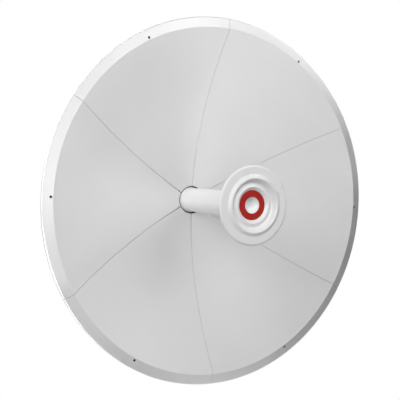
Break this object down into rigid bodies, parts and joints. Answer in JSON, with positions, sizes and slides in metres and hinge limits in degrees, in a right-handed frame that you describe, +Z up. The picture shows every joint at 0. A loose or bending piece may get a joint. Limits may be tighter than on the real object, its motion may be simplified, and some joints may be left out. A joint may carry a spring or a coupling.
{
  "type": "microwave dish antenna",
  "caption": "Round petal reflector with a rear-fed splash-plate feed, ribbed hub, two-port transducer and a tilting mast bracket with U-bolts.",
  "frame": {"origin": "centre of the mast bracket's flat rear face, at the height of the dish's axis", "axes": "+Y out of the bracket's rear face towards the mast, +Z up along the mast; the dish looks along -Y"},
  "size_m": [0.65, 0.485, 0.65],
  "materials": {
    "powder_coat": "satin light grey",
    "hub_cast": "cast, painted grey",
    "feed_plastic": "satin white",
    "cone_plastic": "satin off-white",
    "red_plastic": "satin red",
    "rubber": "matt black",
    "galvanised": "galvanised",
    "bolt_steel": "bright zinc",
    "connector": "nickel-plated brass"
  },
  "bodies": {
    "root": {"petal_1": "powder_coat", "petal_2": "powder_coat", "petal_3": "powder_coat", "petal_4": "powder_coat", "petal_5": "powder_coat", "petal_6": "powder_coat", "hub_casting": "hub_cast", "transducer_neck": "hub_cast", "transducer_box": "hub_cast", "port_vertical": "connector", "port_horizontal": "connector", "feed_tube": "feed_plastic", "feed_collar": "feed_plastic", "tube_gasket": "rubber", "feed_cone": "cone_plastic", "splash_plate": "feed_plastic", "red_ring": "red_plastic", "yoke": "galvanised", "yoke_bolt_1": "bolt_steel", "yoke_bolt_2": "bolt_steel", "yoke_bolt_3": "bolt_steel", "yoke_bolt_4": "bolt_steel", "mast_bracket": "galvanised", "pivot_bolt_left": "bolt_steel", "pivot_bolt_right": "bolt_steel", "lock_bolt_left": "bolt_steel", "lock_bolt_right": "bolt_steel", "u_bolt_upper": "bolt_steel", "u_bolt_lower": "bolt_steel"}
  },
  "joints": []
}
